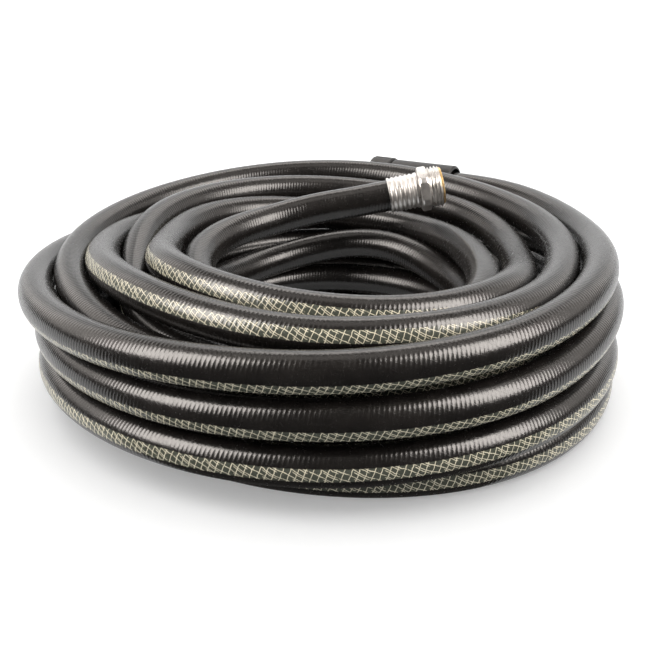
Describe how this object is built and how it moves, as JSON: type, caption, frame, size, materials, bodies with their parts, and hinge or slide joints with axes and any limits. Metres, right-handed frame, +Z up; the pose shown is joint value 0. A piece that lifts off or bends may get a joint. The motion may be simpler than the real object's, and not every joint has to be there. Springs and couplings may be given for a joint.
{
  "type": "coiled rinse hose with end couplings",
  "caption": "Long reinforced PVC rinse hose wound in a ring coil, with a male threaded hose coupling on its free end and a swivelling female coupling in a sleeve grip on its other end.",
  "frame": {"origin": "middle of the whole object's outline, on the surface that the coil lies on", "axes": "+Z up through the open middle of the coil, -Y towards the front that the picture shows, +X to its right"},
  "size_m": [0.3726, 0.3878, 0.1169],
  "materials": {
    "hose_pvc": "near-black glossy PVC with fine cross ribs and a clear stripe over knitted yarn",
    "silver_metal": "nickel-bright satin metal",
    "brass": "plain brass",
    "black_plastic": "smooth black moulded plastic",
    "seal_rubber": "matte rubber"
  },
  "bodies": {
    "hose": {"hose_coil": "hose_pvc", "hose_male_lead": "hose_pvc", "hose_female_lead": "hose_pvc", "hose_male_end": "hose_pvc", "male_ferrule": "silver_metal", "male_body": "silver_metal", "male_insert": "brass", "hose_female_end": "hose_pvc", "female_ferrule": "silver_metal", "female_stem": "brass", "female_grip": "black_plastic"},
    "nut": {"female_nut": "black_plastic", "female_washer": "seal_rubber"}
  },
  "joints": [
    {"name": "nut_spin", "type": "hinge", "parent": "hose", "child": "nut", "pos_m": [0.04378, 0.17464, 0.083], "axis": [-0.866, 0.5, 0], "continuous": true}
  ]
}
